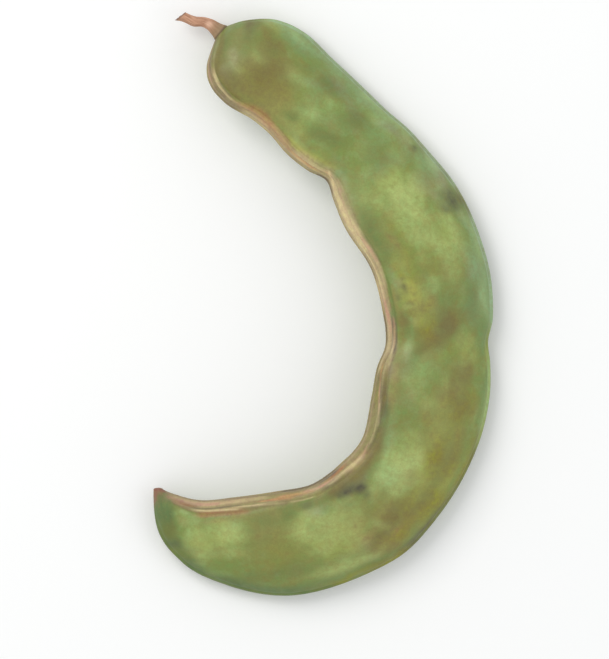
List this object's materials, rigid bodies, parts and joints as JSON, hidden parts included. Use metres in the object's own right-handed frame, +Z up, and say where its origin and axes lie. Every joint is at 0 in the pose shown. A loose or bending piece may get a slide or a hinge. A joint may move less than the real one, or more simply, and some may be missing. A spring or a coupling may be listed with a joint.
{
  "type": "ice cream bean pod",
  "caption": "Long, curved, flat-sided legume pod with thickened ribbed margins, a pointed beak and a short woody stalk, lying on its side.",
  "frame": {"origin": "on the surface the pod lies on, under the middle of its bounding box", "axes": "+Z up from the surface; the pod's curve lies in the XY plane, +Y from the beak limb towards the stalk limb, +X towards the outer side of the curve"},
  "size_m": [0.17, 0.2923, 0.0402],
  "materials": {
    "pod_skin": "satin, mottled green with tan margins",
    "stalk_bark": "dull, fibrous bark"
  },
  "bodies": {
    "root": {"pod": "pod_skin", "stalk": "stalk_bark"}
  },
  "joints": []
}
